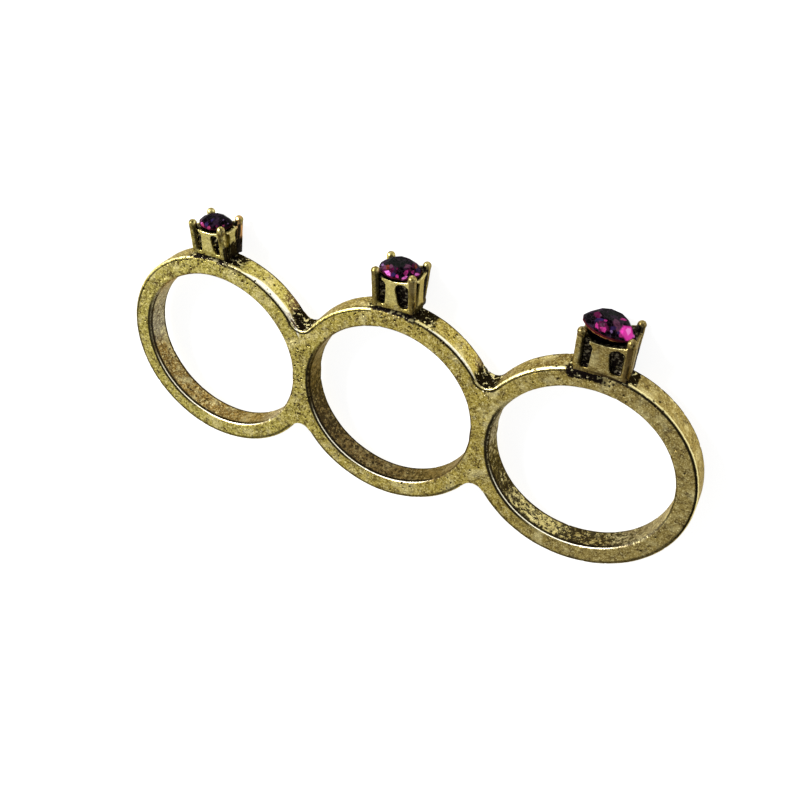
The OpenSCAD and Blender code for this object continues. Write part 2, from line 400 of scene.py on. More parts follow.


# Paint on and round the cups: what is black, as patina and as painted shade, what is browner or painted
# darker, and what lies close to a cup's foot
def cupPaint(board, place, x, y, z, spec):
    sizes = spec["sizes"]
    atLeft = x < -pitch / 2
    atRight = x > pitch / 2

    # A value for each cup, chosen by place
    def each(left, middle, right):
        chosen = middle
        if left != middle:
            chosen = atLeft * (left - middle) + chosen
        if right != middle:
            chosen = atRight * (right - middle) + chosen
        return chosen

    drops = list(cups["drops"].values())
    turns = [math.radians(turn) for turn in cups["turns"].values()]
    tops = [cups["heights"][side] - cups["rimDrops"][side] for side in cups["heights"]]
    fromMiddle = x - each(*cups["places"].values())
    half = each(*cups["halfGaps"].values())
    wide = half + cups["lip"]
    cosine = each(*[math.cos(turn) for turn in turns])
    sine = each(*[math.sin(turn) for turn in turns])
    across = fromMiddle * cosine - z * sine
    deep = fromMiddle * sine + z * cosine
    aside = abs(across)
    height = y - outerRadius
    base = each(*[cups["solder"] - drop for drop in drops])
    wallTop = each(*tops)
    above = board.rise(height, base - 0.1, base)
    climb = board.clamp((height - base) / (wallTop - base), 0, 1)
    low = each(*[cups["skirtHalfDepth"] if drop else cups["plinthHalfDepth"] for drop in drops])
    front = climb * (half * cups["depthShare"] + cups["lip"] - low) + low
    frontDepth = front - abs(deep)
    flankDepth = wide - aside

    # Pockets and the hollow under the stone
    inside = board.rise(board.least(frontDepth, flankDepth), 0.1, 0.28)
    inside = inside * board.rise(height, wallTop + 0.45, wallTop) * above

    # On the left cup the front half of the right wall is rubbed up to the claw
    sideRub = board.rise(across, half - 0.5, half - 0.2) * board.rise(deep, -0.1, 0.2) * atLeft
    inside = inside * (1 - sideRub * board.rise(height, 1.1, 1.6) * 0.8)

    # Painted shade: the right flank is black low down, and so is the inner half of each left claw
    top = each(*spec["flankSoot"]) + (board.noise(place, sizes["flank"], 2) - 0.5) * 1.2
    onFlank = board.rise(across, half + 0.02, half + 0.18)
    flank = onFlank * board.rise(height - top, 0, -0.4)
    claw = board.rise(across, 0.05 - half, 0.2 - half) * board.rise(across, 0.7 - half, 0.5 - half)
    claw = claw * board.rise(height, 0.5, 0.8) * board.rise(height, wallTop + 0.2, wallTop - 0.1)
    black = board.most(inside, flank * above)
    black = board.most(black, claw * above * 0.8)

    # Soot and painted shadow creep out from under the plinth, further on the right
    run = each(*spec["rightSpread"])
    past = (abs(across - run / 2) - (wide + run / 2)) * each(*spec["sideFade"])
    below = outerRadius + base - board.length(x - each(*centres), y)
    creep = board.length(board.most(past, 0), board.most(below * 1.3, 0))
    shift = board.node("ShaderNodeCombineXYZ", None, {0: each(0, 9, 18)})
    ragged = board.noise(board.vector("ADD", place, shift), sizes["creep"], 3, 0.7) - 0.5
    spread = each(*spec["footSpread"]) + board.rise(across, 0, half) * 0.35
    foot = board.rise(creep + ragged * 0.9, spread, spread - 0.25)
    foot = foot * board.rise(y, 8, 9) * board.rise(height, base + 0.1, base)
    onPlate = board.rise(abs(deep), halfWidth, halfWidth + 0.03)
    foot = foot * (1 - onPlate * atRight)
    beside = aside - wide
    bevelRight = board.rise(beside, 0, 0.1) * board.rise(across, 0, 1)
    foot = foot * (1 - bevelRight * board.rise(z, halfWidth - 0.45, halfWidth - 0.3))
    beneath = board.rise(beside, 0.25, 0) * board.rise(y, 8, 9)

    # Claw shafts are a little browner than the walls between them, partly as painted shade
    shaft = board.rise(aside, half - 0.32, half - 0.15) * board.rise(frontDepth, 0.6, 0.35)
    leftward = board.rise(across, 0.2, -0.2)
    brown = each(*spec["shaftBrown"]) * (1 - leftward) + each(*spec["leftClawBrown"]) * leftward
    dim = shaft * brown * board.rise(height, wallTop + 0.45, wallTop)
    beadLow = each(*[tall - cups["beadDrop"] for tall in cups["heights"].values()])
    # Painted shade: a dark collar under each bead
    collar = board.rise(abs(height - beadLow), 0.22, 0.08) * shaft
    dim = board.most(dim, collar * 0.8)
    # Painted shade on the right flank; each wall is darker towards its foot, and cupDim browns a whole cup
    flankDim = onFlank * 0.35 + board.rise(height, base + 0.8, base + 0.2) * 0.3 + each(*spec["cupDim"])
    dim = board.most(dim, flankDim) * above

    # The front claw has a dark streak below its bead
    belowBead = board.rise(height, beadLow + 0.1, beadLow - 0.1)
    streak = board.rise(abs(across - half), 0.27, 0.12) * board.rise(deep, 0, 1)
    streak = streak * board.rise(height, wallTop - 1.7, wallTop - 0.6)
    streak = streak * belowBead * each(*spec["streaks"])

    # Blots on the beads, most of them on the left
    blot = board.rise(board.noise(place, sizes["blot"], 2), 0.42, 0.52) * (0.45 + leftward * 0.55)
    blot = blot * shaft * board.rise(height, beadLow, beadLow + 0.15) * each(*spec["beadSoot"])
    streak = board.most(streak, blot)

    # Painted shadow: the far right claw is black on its inner side, and all round low down
    behind = deep + front - cups["lip"]
    reach = each(*spec["farReach"])
    farClaw = board.rise(across, half - 0.5, half - 0.35) * above * belowBead
    farTop = each(*spec["farSoot"])
    turned = (across - half) * 0.9 - behind * 0.44 - each(*spec["farEdge"])
    innerSide = board.rise(turned, 0.06, -0.06) * board.rise(behind, 0.45, 0.35)
    lowPart = board.rise(height, farTop + 0.1, farTop - 0.3) * board.rise(behind, reach, reach - 0.1)
    farBlack = board.most(innerSide, lowPart) * farClaw
    streak = board.most(streak, farBlack)
    black = board.most(black, farBlack, foot)

    # Walls rubbed bright, partly as a painted highlight
    rubbed = above * (1 - shaft) * board.rise(height, base + 0.3, base + 0.9) * each(*spec["wallRub"])
    return {"black": black, "dim": dim, "foot": foot, "beneath": beneath, "rubbed": rubbed,
            "inside": inside, "streak": streak, "farBlack": farBlack}


def makeBrass(spec):
    material, board = newMaterial("antique_brass")
    sizes = spec["sizes"]
    place = board.millimetres()
    x, y, z = board.split(place)
    facing = abs(board.split(board.node("ShaderNodeTexCoord", out=1))[2])
    wall = board.rise(facing, 0.8, 0.5)
    edge = board.rise(facing, 0.97, 0.85)
    ringX = x - pitch * board.maths("ROUND", board.clamp(x / pitch, -1, 1))
    radius = board.length(ringX, y)

    # 1 in one direction from each bore's centre; low and high are cosines of the angle away from it
    def toward(degrees, low, high):
        angle = math.radians(degrees)
        return board.rise((ringX * math.cos(angle) + y * math.sin(angle)) / radius, low, high)

    # 1 close to a value and 0 beyond its reach
    def near(value, middle, reach):
        return board.rise(abs(value - middle), reach, reach * 0.3)

    mottle = board.noise(place, sizes["mottle"], 4)
    grain = board.noise(place, sizes["grain"], 3, 0.65)
    drift = board.noise(place, sizes["drift"], 3)
    fine = board.noise(place, sizes["fine"], 1)
    ragged = (board.noise(place, sizes["ragged"], 4, 0.7) - 0.5) * 2
    fresh = 1 - board.rise(x, 4, 20) * 0.45

    # Rubbed brass: yellow on the left, browner to the right, mottled all over
    tint = board.blend(board.rise(x + (mottle - 0.5) * 30, -22, 4), spec["straw"], spec["olive"])
    tint = board.blend(board.rise(x + (mottle - 0.5) * 20, 6, 22), tint, spec["umber"])

    # Each bore has its own colour, with brown patches and a browner stretch at the right end; a painted
    # highlight (lit) low in the right bore, and painted grey sheen where the bores run up to the joins
    bore = board.rise(radius, boreRadius + 0.3, boreRadius + 0.08)
    boreTint = board.blend(board.rise(x, -9.5, -10.5), spec["boreTints"][1], spec["boreTints"][0])
    boreTint = board.blend(board.rise(x, 9.5, 10.5), boreTint, spec["boreTints"][2])
    patches = board.rise(board.noise(place, sizes["patch"], 3, 0.6), 0.50, 0.64)
    boreTint = board.blend(patches * 0.6, boreTint, spec["brown"])
    lit = toward(248, 0.88, 0.98) * board.rise(x, 9, 11)
    boreTint = board.blend(lit * 0.5, boreTint, spec["gilt"])
    endSheen = toward(167, 0.86, 0.97) * 1.5 + toward(-38, 0.88, 0.98)
    endSheen = endSheen * board.rise(abs(x), 9, 11)
    boreTint = board.blend(board.clamp(endSheen * 0.55, 0, 1), boreTint, spec["grey"])
    rightEnd = toward(-35, 0.80, 0.95) * board.rise(x, 9.5, 10.5)
    boreTint = board.blend(rightEnd * 0.4, boreTint, spec["brown"])
    tint = board.blend(bore, tint, boreTint)

    # Brown drifts and bright grain over all of it
    outside = board.rise(radius, outerRadius - 0.6, outerRadius - 0.2) * wall
    dim = outside * toward(150, 0.2, 0.6) * 0.45
    onCup = board.rise(y, outerRadius + 0.3, outerRadius + 0.4)
    blotch = board.rise(board.noise(place, sizes["blotch"], 3, 0.6), 0.56, 0.68)
    blotch = blotch * (1 - onCup) * (1 - bore) * 0.5
    patchy = board.rise(drift, 0.54, 0.36) * 0.4 + board.rise(grain, 0.52, 0.34) * 0.6 * fresh + dim + blotch
    patchy = patchy + board.rise(fine, 0.48, 0.30) * 0.35
    tint = board.blend(board.clamp(patchy, 0, 1), tint, spec["brown"])
    gleam = board.rise(grain, 0.52, 0.70) * 0.55 * fresh + board.rise(mottle, 0.50, 0.68) * 0.35
    gleam = gleam + board.rise(fine, 0.54, 0.74) * 0.4
    dull = bore * board.rise(abs(x), 10, 9.5) * 0.7
    tint = board.blend(board.clamp(gleam * (1 - dull), 0, 1), tint, spec["worn"])

    # Each of these runs across an edge: 0 in the middle of its bevel, more on the front, less on the wall
    under = halfWidth - abs(z)
    inner = radius - boreRadius - under
    outer = outerRadius - radius - under
    valleyX = x - board.maths("SIGN", x) * valley["x"]
    valleyY = abs(y) - valley["y"]
    valleyR = board.length(valleyX, valleyY)
    dell = valleyR - valley["radius"] - under
    inDell = board.rise(valleyR, 1.95, 1.75) * board.rise(valleyY, -0.35, -0.6)
    freeRim = board.most(board.rise(abs(y), 6.2, 6.5), board.rise(abs(x), 20, 21))

    paint = cupPaint(board, place, x, y, z, spec)
    foot = paint["foot"]
    beneath = paint["beneath"]
    inside = paint["inside"]
    streak = paint["streak"]

    # Painted highlights along the edges, widest on the right shoulder of each band, along the valleys and low
    # in each bore
    rightOf = toward(38, 0.35, 0.8) * freeRim
    leftOf = toward(118, 0.6, 0.85) * freeRim * (1 - beneath)
    leftWide = 0.12 + board.rise(x, 9, 12) * 0.12
    front = board.rise(z, 0, 0.2)
    taper = toward(50, 0.88, 0.99) * board.rise(x, 10, 8) * (1 - board.rise(x, -5, -2) * 0.4)
    stripe = board.rise(outer + taper * 0.95, 0.0, 0.45) * board.rise(outer, 0.03, -0.05)
    stripe = stripe * board.rise(taper, 0, 0.2)
    shine = (stripe + near(outer, -0.14, 0.16) * rightOf * (1 - beneath)) * front
    shine = shine + near(outer, -0.02, leftWide) * leftOf
    hairline = near(inner, 0, 0.10) * toward(251, 0.52, 0.82) * front
    shine = shine + hairline
    groove = inDell * board.rise(y, 0, 1)
    leftSide = 1 - board.rise(valleyX, 0.3, 0.9) * board.rise(x, 0, -1) * 0.7
    onBand = board.rise(abs(z), halfWidth + 0.045, halfWidth + 0.015)
    shine = board.clamp(shine + near(dell, -0.03, 0.15) * groove * leftSide, 0, 1) * (1 - foot) * onBand
    # The white core of the painted highlights
    flare = board.rise(stripe, 0.35, 0.9) * front * (1 - foot)
    tint = board.blend(shine * 0.85, tint, spec["worn"])
    tint = board.blend(board.most(flare, hairline) * 0.95, tint, spec["flare"])

    # Painted shade: dark lines beside the painted highlights, and round the far edges, standing for dark
    # reflections on the bevels
    lines = board.rise(outer, -0.03, 0.04) * board.rise(outer, 0.34, 0.18) * rightOf * 1.4
    lines = lines + near(outer, 0.34, 0.14) * leftOf * 0.8
    lines = lines + board.rise(dell, 0.1, 0.17) * board.rise(dell, 0.45, 0.28) * groove
    lines = lines + near(dell, -0.30, 0.16) * groove
    lines = lines + near(inner, -0.24, 0.22) * toward(225, 0.0, 0.4) * 1.4
    lines = lines + near(inner, 0.24, 0.22) * toward(200, 0.5, 0.9) * 1.3
    lines = lines + near(outer, 0.27, 0.26) * front * toward(250, -0.3, 0.2) * freeRim * 0.8
    lines = lines + near(outer, -0.14, 0.2) * edge * freeRim * toward(225, 0.1, 0.6)
    lines = lines + near(inner, 0, 0.2) * toward(45, 0.1, 0.6) * 0.8
    lines = lines + near(z, 0.24 - halfWidth, 0.15) * wall
    lines = board.clamp(lines * board.rise(ragged, -0.9, -0.4), 0, 1)
    tint = board.blend(lines * 0.95, tint, spec["pit"])

    # Casting pits: dark dots in loose clusters, thickest at the left join and under the cups
    dots = board.cells(place, sizes["dot"])
    pick = board.split(board.cells(place, sizes["dot"], out=1))[0]
    cluster = board.rise(board.noise(place, sizes["cluster"], 2), 0.50, 0.66) * 0.6 * fresh
    joinDots = board.rise(abs(x + pitch / 2), 1.6, 0.6) * board.rise(abs(y), 5.5, 4.0)
    rimDots = board.rise(radius, outerRadius - 1.5, outerRadius - 0.7) * board.rise(y, 8.5, 9.5)
    dense = cluster * 0.7 + joinDots * 0.75 + rimDots * (0.95 - board.rise(x, -12, -8) * 0.35)
    dense = dense * (1 - outside * 0.7) * (1 - onCup)
    dot = board.rise(dots, 0.36, 0.2) * (pick < dense) * (1 - hairline)
    tint = board.blend(dot * 0.9, tint, spec["pit"])

    # Dark stains in the bores, thicker low down
    endRings = board.rise(abs(x), 9, 11)
    thick = toward(285, 0.90, 0.99) * endRings + toward(205, 0.88, 0.97)
    thick = thick * 0.05 - lit * 0.012
    thick = thick + toward(222, 0.86, 0.97) * board.rise(x, 9.5, 10.5) * 0.03
    stain = board.rise(board.noise(place, sizes["stain"], 4, 0.8) - thick, 0.51, 0.46) * bore
    shares = spec["boreStains"]
    share = shares[0] + board.rise(x, -10.5, -9.5) * (shares[1] - shares[0])
    share = share + board.rise(x, 9.5, 10.5) * (shares[2] - shares[1])
    stain = stain * share * toward(240, -0.1, 0.4)
    tint = board.blend(stain * (1 - hairline), tint, spec["pit"])

    # What stands proud on the cups is rubbed bright
    lift = board.node("ShaderNodeAttribute", {"attribute_name": "lift"}, out=2)
    worn = board.rise(lift + ragged * 0.01, 0.015, 0.05) * (1 - streak)
    # The cups' walls rubbed bright, partly as a painted highlight
    tint = board.blend(paint["rubbed"], tint, spec["gilt"])
    tint = board.blend(streak * 0.8, tint, spec["pit"])
    tint = board.blend(worn * 0.85 * onCup, tint, spec["worn"])

    # Where antiquing stays: brown down the back of each shoulder, black in the valley, with bright curls; the
    # painted shade and shadow round the cups share its black
    sag = board.length(valleyX + valley["sootLeft"], valleyY + valley["sootDown"])
    low = wall * board.rise(radius, boreRadius + 1, boreRadius + 1.6)
    secondValley = board.rise(x, -1, 1)
    away = sag + ragged * 1.4 + board.rise(z, -0.4, 0.8) * 1.6 + secondValley * 1.2
    scorch = board.rise(away, 4.3, 2.4) * low
    tint = board.blend(scorch * board.rise(grain, 0.60, 0.47) * 0.95, tint, spec["russet"])
    soot = board.rise(sag + ragged * 0.7 + secondValley * 0.3, 1.9, 1.4) * low
    residue = soot
    # The black round the cups: patina in the pockets, and painted shade
    soot = board.most(soot, paint["black"])
    # The cups' browner parts, partly painted shade
    tint = board.blend(paint["dim"] * (1 - worn * 0.7), tint, spec["brown"])
    copper = board.rise(board.length(x - cups["places"]["left"] - 1.95, z + 1.5), 0.9, 0.5)
    copper = copper * board.rise(y, outerRadius + 0.3, outerRadius + 1) * board.rise(mottle, 0.34, 0.50)
    tint = board.blend(copper * 0.8, tint, spec["copper"])
    residue = board.most(residue, soot * board.rise(y, outerRadius + 0.1, outerRadius) * (1 - beneath * 0.8))
    # Painted shadow: a black ledge along the band's edge under each cup
    ledge = beneath * board.rise(x, 12, 10) * board.rise(outer + ragged * 0.12, 0.24, 0.12)
    ledge = ledge * board.rise(outer, -0.7, -0.5)
    soot = board.most(soot, ledge * board.rise(y, outerRadius + 0.15, outerRadius + 0.05))
    curl = board.rise(board.noise(place, sizes["curl"], 1, 0.5, 0.6), 0.60, 0.65)
    speck = board.rise(grain, 0.60, 0.72) * 0.35
    soot = soot * (1 - speck) * (1 - shine)
    tint = board.blend(soot * (1 - worn * onCup * 0.6), tint, spec["soot"])
    tint = board.blend(curl * residue * 0.85, tint, spec["worn"])
    # Painted highlights: light flecks in the pockets, and bright bits in the left cup's pockets
    fleck = board.rise(board.noise(place, sizes["fleck"], 2, 0.5), 0.52, 0.64) * inside
    tint = board.blend(fleck * 0.65, tint, spec["fleck"])
    bits = board.rise(board.noise(place, sizes["bit"], 1, 0.5), 0.60, 0.64) * inside * board.rise(x, -15, -16)
    tint = board.blend(bits * 0.8, tint, spec["worn"])
    rough = 0.30 + 0.22 * grain + 0.2 * soot - 0.08 * worn - 0.06 * onCup
    relief = grain * 0.6 + drift * 0.8 - dot * 1.2 - lines * 0.8 + curl * residue
    bump = board.node("ShaderNodeBump", None,
                      {"Strength": 1.0, "Distance": spec["bumpHeight"] * toMetres, "Height": relief})
    # The painted highlight line in the bores is made less metallic so it shows white, and the painted shadow
    # on the far right claw is dull and not metallic so it stays black
    shader = board.node("ShaderNodeBsdfPrincipled", None,
                        {"Base Color": tint, "Metallic": 1 - hairline * 0.75 - paint["farBlack"] * 0.95,
                         "Roughness": rough + paint["farBlack"] * 0.3, "Normal": bump,
                         "Specular Tint": rgba(*spec["sheen"])})
    board.node("ShaderNodeOutputMaterial", None, {0: shader})
    return material


brassPaint = makeBrass(brass)


# A tree that gives cast metal its skin, and keeps in "lift" how proud each point is
def castSkin(name, paint, knobs):
    board, knob = newTree(name, knobs)
    place = board.node("GeometryNodeInputPosition")
    normal = board.node("GeometryNodeInputNormal")
    wave = board.node("ShaderNodeTexNoise", None,
                      {"Vector": place, "Scale": 1 / knob["Wave Size"], "Detail": 1.0})
    grain = board.node("ShaderNodeTexNoise", None,
                       {"Vector": place, "Scale": 1 / knob["Grain Size"], "Detail": 3.0})
    pit = board.node("ShaderNodeTexVoronoi", None,
                     {"Vector": place, "Scale": 1 / knob["Pit Size"]})
    pit = board.rise(pit, 0.32, 0.1)
    depth = (wave - 0.5) * 2 * knob["Wave Depth"] + (grain - 0.5) * 2 * knob["Grain Depth"]
    depth = depth - pit * knob["Pit Depth"]
    step = board.node("ShaderNodeVectorMath", {"operation": "SCALE"}, {0: normal, "Scale": depth})
    moved = board.node("GeometryNodeSetPosition", None,
                       {"Geometry": knob["Geometry"], "Offset": step})
    soft = board.node("GeometryNodeBlurAttribute", {"data_type": "FLOAT_VECTOR"},
                      {"Value": place, "Iterations": knob["Edge Steps"]})
    lift = board.vector("DOT_PRODUCT", board.vector("SUBTRACT", place, soft), normal, out=1)
    moved = board.node("GeometryNodeStoreNamedAttribute", {"data_type": "FLOAT", "domain": "POINT"},
                       {"Geometry": moved, "Name": "lift", "Value": lift})
    return board.dress(moved, paint)


# Turns rough millimetre shapes into one cast skin: fused, softened, weathered, thinned and set in metres
def castPiece(name, shape, spec, tree):
    rough = bpy.data.meshes.new(name + "_rough")
    shape.to_mesh(rough)
    shape.free()
    blank = newObject(name + "_blank", rough)
    fuse = blank.modifiers.new("fuse", "REMESH")
    fuse.mode = "VOXEL"
    fuse.voxel_size = spec["voxel"]
    fuse.use_smooth_shade = True
    soften = blank.modifiers.new("soften", "SMOOTH")
    soften.factor = 0.5
    soften.iterations = spec["softening"]
    skin = blank.modifiers.new("skin", "NODES")
    skin.node_group = tree
    setKnobs(skin, spec["knobs"])
    thin = blank.modifiers.new("thin", "DECIMATE")
    thin.ratio = spec["kept"]
    bpy.context.view_layer.update()
    ready = blank.evaluated_get(bpy.context.evaluated_depsgraph_get())
    mesh = bpy.data.meshes.new_from_object(ready)
    bpy.data.objects.remove(blank)
    mesh.transform(Matrix.Scale(toMetres, 4))
    mesh.name = name
    piece = newObject(name, mesh)
    mesh.shade_smooth()
    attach(piece, "root")
    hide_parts("ring_body")
    print(name, len(mesh.polygons), "faces")
    return piece


print("bands")
castTree = castSkin("cast_skin", brassPaint, band["knobs"])


# One plain band round a finger: its section goes once around the middle
def addBand(shape, middle, spec):
    bevel = spec["bevel"]
    section = [(boreRadius, bevel - halfWidth), (boreRadius, halfWidth - bevel),
               (boreRadius + bevel, halfWidth), (outerRadius - bevel, halfWidth),
               (outerRadius, halfWidth - bevel), (outerRadius, bevel - halfWidth),
               (outerRadius - bevel, -halfWidth), (boreRadius + bevel, -halfWidth)]
    loops = []
    for step in range(spec["ringSteps"]):
        angle = 2 * math.pi * step / spec["ringSteps"]
        loops.append([shape.verts.new((middle + r * math.cos(angle), r * math.sin(angle), z))
                      for r, z in section])
    for here, there in zip(loops, loops[1:] + loops[:1]):
        for i in range(len(section)):
            j = (i + 1) % len(section)
            shape.faces.new((here[i], there[i], there[j], here[j]))


def arc(middle, radius, start, end, steps):
    return [(middle[0] + radius * math.cos(a), middle[1] + radius * math.sin(a))
            for a in (start + (end - start) * k / steps for k in range(steps + 1))]


def addPrism(shape, outline, half):
    front = [shape.verts.new((x, y, half)) for x, y in outline]
    back = [shape.verts.new((x, y, -half)) for x, y in outline]
    shape.faces.new(front)
    shape.faces.new(back[::-1])
    for i in range(len(outline)):
        j = (i + 1) % len(outline)
        shape.faces.new((front[j], front[i], back[i], back[j]))


# The web between two bands, hollowed above and below by the rounded valleys
def addJoin(shape, middle, spec):
    lean = math.atan2(valley["y"], valley["x"])
    inside = boreRadius + spec["webOverlap"]
    swing = math.asin((valley["y"] - valley["radius"] * math.sin(lean)) / inside)
    outline = arc((middle, valley["y"]), valley["radius"], lean - math.pi, -lean, spec["valleySteps"])
    outline += arc((middle + pitch / 2, 0), inside, math.pi - swing, math.pi + swing, spec["webSteps"])
    outline += arc((middle, -valley["y"]), valley["radius"], lean, math.pi - lean, spec["valleySteps"])
    outline += arc((middle - pitch / 2, 0), inside, -swing, swing, spec["webSteps"])
    addPrism(shape, outline[::-1], halfWidth)


shape = bmesh.new()
for middle in centres:
    addBand(shape, middle, band)
for left, right in zip(centres, centres[1:]):
    addJoin(shape, (left + right) / 2, band)
bmesh.ops.recalc_face_normals(shape, faces=shape.faces)
bands = castPiece("bands", shape, band, castTree)


print("claw cups")


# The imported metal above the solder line, in millimetres
def cupBlank(middle, spec):
    shape = bmesh.new()
    shape.from_mesh(nodes["ring_body"].data)
    bmesh.ops.scale(shape, vec=Vector((1, 1, 1)) / toMetres, verts=shape.verts)
    bmesh.ops.remove_doubles(shape, verts=shape.verts, dist=spec["mergeBelow"])
    line = Vector((0, outerRadius + spec["solder"] + spec["cutAbove"], 0))
    bmesh.ops.bisect_plane(shape, geom=shape.verts[:] + shape.edges[:] + shape.faces[:],
                           plane_co=line, plane_no=(0, 1, 0), clear_inner=True)
    far = [v for v in shape.verts if abs(v.co.x - middle) > spec["reach"]]
    bmesh.ops.delete(shape, geom=far, context="VERTS")
    rim = [e for e in shape.edges if e.is_boundary]
    bmesh.ops.holes_fill(shape, edges=rim, sides=0)
    return shape


# A block under a cup, between two heights above the band
def addBlock(shape, side, half, low, high, halfDepth, spec):
    middle = (spec["places"][side], outerRadius + (low + high) / 2, 0)
    place = (Matrix.Translation(middle) @ Matrix.Rotation(math.radians(spec["turns"][side]), 4, "Y")
             @ Matrix.Diagonal((2 * half, high - low, 2 * halfDepth, 1)))
    bmesh.ops.create_cube(shape, size=1, matrix=place)


def addFoot(shape, side, spec):
    half = spec["halfGaps"][side]
    solder = spec["solder"]
    addBlock(shape, side, half + spec["footMargin"], -spec["footDepth"], solder + spec["footOverlap"],
             spec["footHalfDepth"], spec)
    if spec["drops"][side]:
        addBlock(shape, side, half + spec["lip"], solder - spec["drops"][side], solder + spec["skirtOverlap"],
                 spec["skirtHalfDepth"], spec)


for side, middle in cups["places"].items():
    shape = cupBlank(middle, cups)
    addFoot(shape, side, cups)
    castPiece("cup_" + side, shape, cups, castTree)


print("solder crumbs")
crumbs = {
    "knobs": {
        "Density": 6.0,        # lumps in a square millimetre where they lie thickest
        "Smallest": 0.04,
        "Largest": 0.11,
        "Reach": 0.8,          # how far from a cup they lie
        "Valley Reach": 1.3,   # how far from the bottom of a valley they lie
        "Seed": 7,
    },
    "shares": {"left": 1.0, "middle": 0.7, "right": 0.25},   # how thickly they lie round each cup
    "clumpScale": 1.6,
    "bright": (0.80, 0.72, 0.44),
    "dull": (0.06, 0.045, 0.02),
    "patchSize": 0.35,
    "grainSize": 0.08,
    "bumpHeight": 0.01,
}


def makeSolder(spec):
    material, board = newMaterial("solder")
    place = board.millimetres()
    patches = board.noise(place, spec["patchSize"], 2)
    grain = board.noise(place, spec["grainSize"], 2)
    tint = board.blend(board.rise(patches, 0.42, 0.58), spec["dull"], spec["bright"])
    bump = board.node("ShaderNodeBump", None,
                      {"Distance": spec["bumpHeight"] * toMetres, "Height": grain})
    shader = board.node("ShaderNodeBsdfPrincipled", None,
                        {"Base Color": tint, "Metallic": 1.0, "Roughness": 0.22 + grain * 0.25,
                         "Normal": bump})
    board.node("ShaderNodeOutputMaterial", None, {0: shader})
    return material


# A tree that strews small lumps over the metal round each cup and in the upper valleys
def crumbTree(name, paint, spec):
    board, knob = newTree(name, spec["knobs"])
    place = board.node("GeometryNodeInputPosition")
    x, y, _ = board.split(place)
    sag = board.length(abs(x) - valley["x"] + valley["sootLeft"], y - valley["y"] + valley["sootDown"])
    thick = board.rise(sag, knob["Valley Reach"], knob["Valley Reach"] * 0.5)
    for side, middle in cups["places"].items():
        past = abs(x - middle) - (cups["halfGaps"][side] + cups["lip"])
        plinth = outerRadius - cups["drops"][side]
        beside = board.rise(past, knob["Reach"], knob["Reach"] * 0.2)
        beside = beside * board.rise(y, plinth - 0.9, plinth - 0.4)
        thick = board.most(thick, beside * spec["shares"][side])
    clumps = board.node("ShaderNodeTexNoise", None, {"Vector": place, "Scale": spec["clumpScale"]})
    clumps = board.rise(clumps, 0.42, 0.6)
    spots = board.node("GeometryNodeDistributePointsOnFaces", None,
                       {"Mesh": knob["Geometry"], "Density": thick * clumps * knob["Density"],
                        "Seed": knob["Seed"]})
    turn = Wire(board, spots.socket.node.outputs["Rotation"])
    size = board.node("FunctionNodeRandomValue", {"data_type": "FLOAT"},
                      {2: knob["Smallest"], 3: knob["Largest"]}, out=1)
    shape = board.node("ShaderNodeCombineXYZ", None, {0: size * 1.5, 1: size, 2: size * 0.7})
    lump = board.node("GeometryNodeMeshIcoSphere", None, {"Radius": 1.0, "Subdivisions": 1})
    strewn = board.node("GeometryNodeInstanceOnPoints", None,
                        {"Points": spots, "Instance": lump, "Rotation": turn, "Scale": shape})
    return board.dress(strewn, paint)


def addCrumbs(name, ground, spec):
    mesh = ground.copy()
    mesh.transform(Matrix.Scale(1 / toMetres, 4))
    blank = newObject(name + "_blank", mesh)
    strew = blank.modifiers.new("strew", "NODES")
    strew.node_group = crumbTree(name, makeSolder(spec), spec)
    setKnobs(strew, spec["knobs"])
    bpy.context.view_layer.update()
    ready = blank.evaluated_get(bpy.context.evaluated_depsgraph_get())
    made = bpy.data.meshes.new_from_object(ready)
    bpy.data.objects.remove(blank)
    made.transform(Matrix.Scale(toMetres, 4))
    made.shade_smooth()
    piece = newObject(name, made)
    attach(piece, "root")
    print(name, len(made.polygons), "faces")


addCrumbs("solder_crumbs", bands.data, crumbs)


